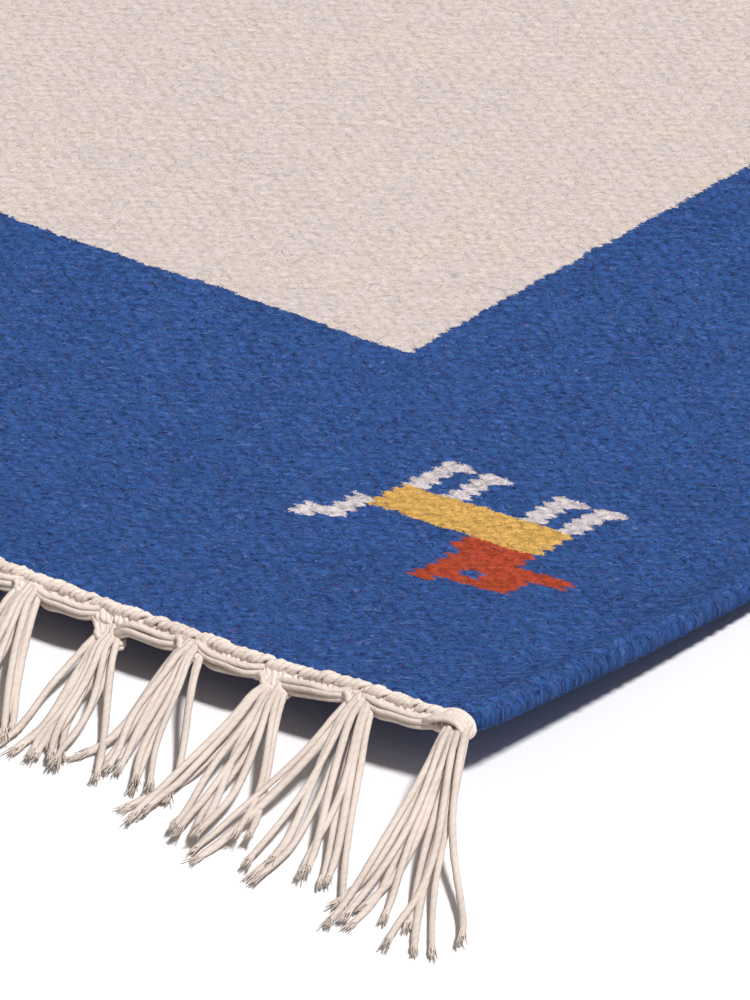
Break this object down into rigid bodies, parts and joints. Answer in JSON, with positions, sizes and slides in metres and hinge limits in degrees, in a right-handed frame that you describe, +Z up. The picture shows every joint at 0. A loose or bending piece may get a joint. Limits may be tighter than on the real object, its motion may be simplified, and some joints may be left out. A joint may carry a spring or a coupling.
{
  "type": "kilim rug",
  "caption": "Small flat-woven wool rug with a plain blue border, a cream field, a little woven animal in each border corner, and knotted cotton fringes at both ends.",
  "frame": {"origin": "on the floor under the middle of the cloth", "axes": "+X across the rug along the wefts, +Y along the warps away from the shown end, +Z up"},
  "size_m": [0.6457, 0.9981, 0.0154],
  "materials": {
    "woven_wool": "matt weft-faced wool, royal blue border round a heathered cream field",
    "cotton_heading": "undyed braided cotton warp ends",
    "cotton_fringe": "undyed cotton strands, loosely twisted"
  },
  "bodies": {
    "root": {"woven_panel": "woven_wool", "heading_front": "cotton_heading", "heading_back": "cotton_heading", "fringe_front": "cotton_fringe", "fringe_back": "cotton_fringe"}
  },
  "joints": []
}
